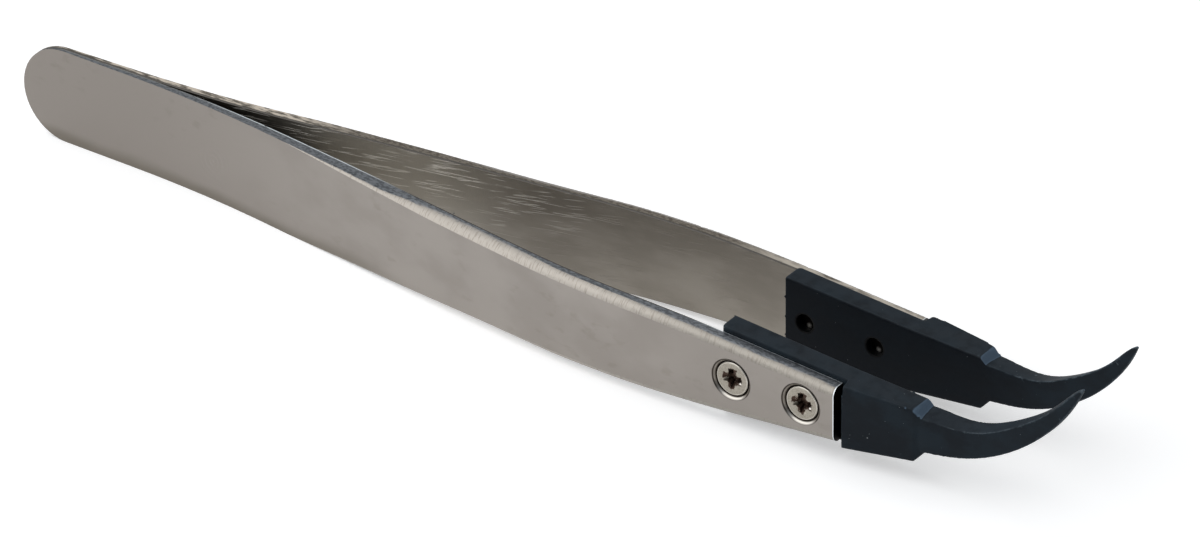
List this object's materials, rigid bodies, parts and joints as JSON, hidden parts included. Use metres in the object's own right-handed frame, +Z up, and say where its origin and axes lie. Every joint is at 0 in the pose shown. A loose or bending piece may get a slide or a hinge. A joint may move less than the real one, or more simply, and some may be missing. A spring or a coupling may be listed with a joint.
{
  "type": "weight tweezers",
  "caption": "Steel tweezers with replaceable black plastic points that curve upward, screwed to bent spring arms, for picking up small weights.",
  "frame": {"origin": "below the middle of the whole tweezers, at the level of the arms' lower edges", "axes": "+X from the heel to the points, +Y from the front arm to the back arm, +Z up"},
  "size_m": [0.13, 0.0168, 0.0155],
  "materials": {
    "arm_steel": "satin",
    "screw_steel": "satin",
    "tip_plastic": "matt"
  },
  "bodies": {
    "root": {"front_arm": "arm_steel", "back_arm": "arm_steel", "front_tip": "tip_plastic", "back_tip": "tip_plastic", "front_screw_rear": "screw_steel", "front_screw_tip": "screw_steel", "back_screw_rear": "screw_steel", "back_screw_tip": "screw_steel"}
  },
  "joints": []
}
